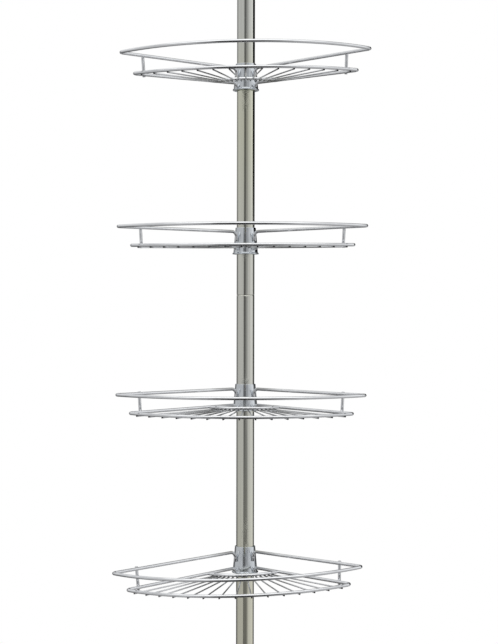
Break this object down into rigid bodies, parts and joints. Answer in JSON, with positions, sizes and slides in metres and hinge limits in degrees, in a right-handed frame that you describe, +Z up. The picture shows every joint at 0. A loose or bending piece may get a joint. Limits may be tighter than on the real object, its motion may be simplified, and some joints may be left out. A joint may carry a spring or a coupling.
{
  "type": "shower caddy",
  "caption": "Corner shower caddy: a spring-loaded pole that stands between floor and ceiling, with quarter-round wire baskets that slide and swivel on it.",
  "frame": {"origin": "middle of the floor pad's underside, on the pole's axis", "axes": "+Z up along the pole; the baskets open towards -Y, so -Y is the front and +X is to the right of someone who faces them"},
  "size_m": [0.2971, 0.2392, 1.524],
  "materials": {
    "steel_tube": "bright stainless tube with a fine lengthwise grain",
    "chrome_wire": "bright chrome plating on steel wire",
    "chrome_hub": "satin chrome plating on pressed steel",
    "clip_plastic": "pale grey moulded plastic",
    "grey_plastic": "grey moulded plastic, lightly glossy",
    "nylon": "natural nylon",
    "plain_steel": "plain drawn steel",
    "rubber_pad": "matt black rubber"
  },
  "bodies": {
    "pole": {"floor_pad": "rubber_pad", "floor_socket": "grey_plastic", "lower_tube": "steel_tube", "tube_connector": "plain_steel", "upper_tube": "steel_tube", "guide_collar": "grey_plastic"},
    "lock_sleeve": {"lock_sleeve": "nylon"},
    "inner_tube": {"inner_tube": "steel_tube", "lock_plug": "nylon", "spring_seat": "nylon", "tension_spring": "plain_steel", "plunger_bushing": "nylon"},
    "plunger": {"plunger": "nylon", "ceiling_socket": "grey_plastic", "ceiling_pad": "rubber_pad"},
    "shelf_1_clips": {"shelf_1_clip_left": "clip_plastic", "shelf_1_clip_right": "clip_plastic"},
    "shelf_1_basket": {"shelf_1_hub": "chrome_hub", "shelf_1_rim_wire": "chrome_wire", "shelf_1_base_wire": "chrome_wire", "shelf_1_inner_arc": "chrome_wire", "shelf_1_grid_wires": "chrome_wire", "shelf_1_posts": "chrome_wire"},
    "shelf_2_clips": {"shelf_2_clip_left": "clip_plastic", "shelf_2_clip_right": "clip_plastic"},
    "shelf_2_basket": {"shelf_2_hub": "chrome_hub", "shelf_2_rim_wire": "chrome_wire", "shelf_2_base_wire": "chrome_wire", "shelf_2_inner_arc": "chrome_wire", "shelf_2_grid_wires": "chrome_wire", "shelf_2_posts": "chrome_wire"},
    "shelf_3_clips": {"shelf_3_clip_left": "clip_plastic", "shelf_3_clip_right": "clip_plastic"},
    "shelf_3_basket": {"shelf_3_hub": "chrome_hub", "shelf_3_rim_wire": "chrome_wire", "shelf_3_base_wire": "chrome_wire", "shelf_3_inner_arc": "chrome_wire", "shelf_3_grid_wires": "chrome_wire", "shelf_3_posts": "chrome_wire"},
    "shelf_4_clips": {"shelf_4_clip_left": "clip_plastic", "shelf_4_clip_right": "clip_plastic"},
    "shelf_4_basket": {"shelf_4_hub": "chrome_hub", "shelf_4_rim_wire": "chrome_wire", "shelf_4_base_wire": "chrome_wire", "shelf_4_inner_arc": "chrome_wire", "shelf_4_grid_wires": "chrome_wire", "shelf_4_posts": "chrome_wire"}
  },
  "joints": [
    {"name": "pole_extension", "type": "slide", "parent": "pole", "child": "lock_sleeve", "axis": [0, 0, 1], "range_m": [0, 0.52]},
    {"name": "twist_lock", "type": "hinge", "parent": "lock_sleeve", "child": "inner_tube", "pos_m": [0, 0, 0.83], "axis": [0, 0, 1], "range_deg": [0, 180]},
    {"name": "ceiling_spring", "type": "slide", "parent": "inner_tube", "child": "plunger", "axis": [0, 0, 1], "range_m": [-0.028, 0], "stiffness_N_per_m": 2500, "springref_m": 0.01, "deforming": ["tension_spring"]},
    {"name": "shelf_1_height", "type": "slide", "parent": "pole", "child": "shelf_1_clips", "axis": [0, 0, 1], "range_m": [-0.079, 0.381]},
    {"name": "shelf_1_swivel", "type": "hinge", "parent": "shelf_1_clips", "child": "shelf_1_basket", "pos_m": [0, 0, 1.0231], "axis": [0, 0, 1], "continuous": true},
    {"name": "shelf_2_height", "type": "slide", "parent": "pole", "child": "shelf_2_clips", "axis": [0, 0, 1], "range_m": [-0.074, 0.079]},
    {"name": "shelf_2_swivel", "type": "hinge", "parent": "shelf_2_clips", "child": "shelf_2_basket", "pos_m": [0, 0, 0.8206], "axis": [0, 0, 1], "continuous": true},
    {"name": "shelf_3_height", "type": "slide", "parent": "pole", "child": "shelf_3_clips", "axis": [0, 0, 1], "range_m": [-0.078, 0.074]},
    {"name": "shelf_3_swivel", "type": "hinge", "parent": "shelf_3_clips", "child": "shelf_3_basket", "pos_m": [0, 0, 0.627], "axis": [0, 0, 1], "continuous": true},
    {"name": "shelf_4_height", "type": "slide", "parent": "pole", "child": "shelf_4_clips", "axis": [0, 0, 1], "range_m": [-0.364, 0.078]},
    {"name": "shelf_4_swivel", "type": "hinge", "parent": "shelf_4_clips", "child": "shelf_4_basket", "pos_m": [0, 0, 0.4259], "axis": [0, 0, 1], "continuous": true}
  ]
}
